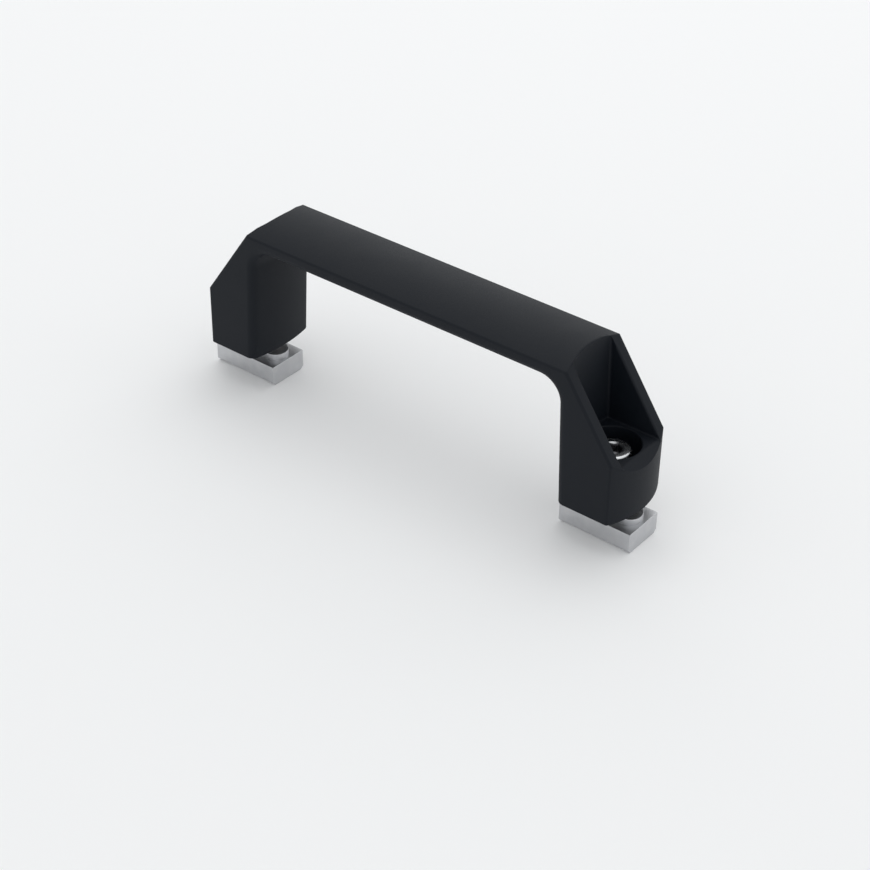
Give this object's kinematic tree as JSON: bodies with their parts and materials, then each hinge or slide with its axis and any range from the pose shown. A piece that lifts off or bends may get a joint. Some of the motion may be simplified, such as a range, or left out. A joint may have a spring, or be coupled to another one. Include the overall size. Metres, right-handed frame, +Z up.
{
  "type": "profile handle",
  "caption": "Moulded bridge handle for slotted aluminium profile, with slanted screw pockets, socket-head screws and slot nuts.",
  "frame": {"origin": "centre of the plane that the two feet stand on, midway between the two screw holes", "axes": "+X along the handle, +Z up from the mounting surface towards the grip, +Y across"},
  "size_m": [0.151, 0.025, 0.0546],
  "materials": {
    "moulding": "black glass-filled polyamide with a fine moulded texture, semi-matt",
    "screw_steel": "bright zinc-plated steel, turned",
    "nut_steel": "zinc-plated drawn steel"
  },
  "bodies": {
    "root": {"handle_body": "moulding", "screw_left": "screw_steel", "screw_right": "screw_steel", "slot_nut_left": "nut_steel", "slot_nut_right": "nut_steel"}
  },
  "joints": []
}
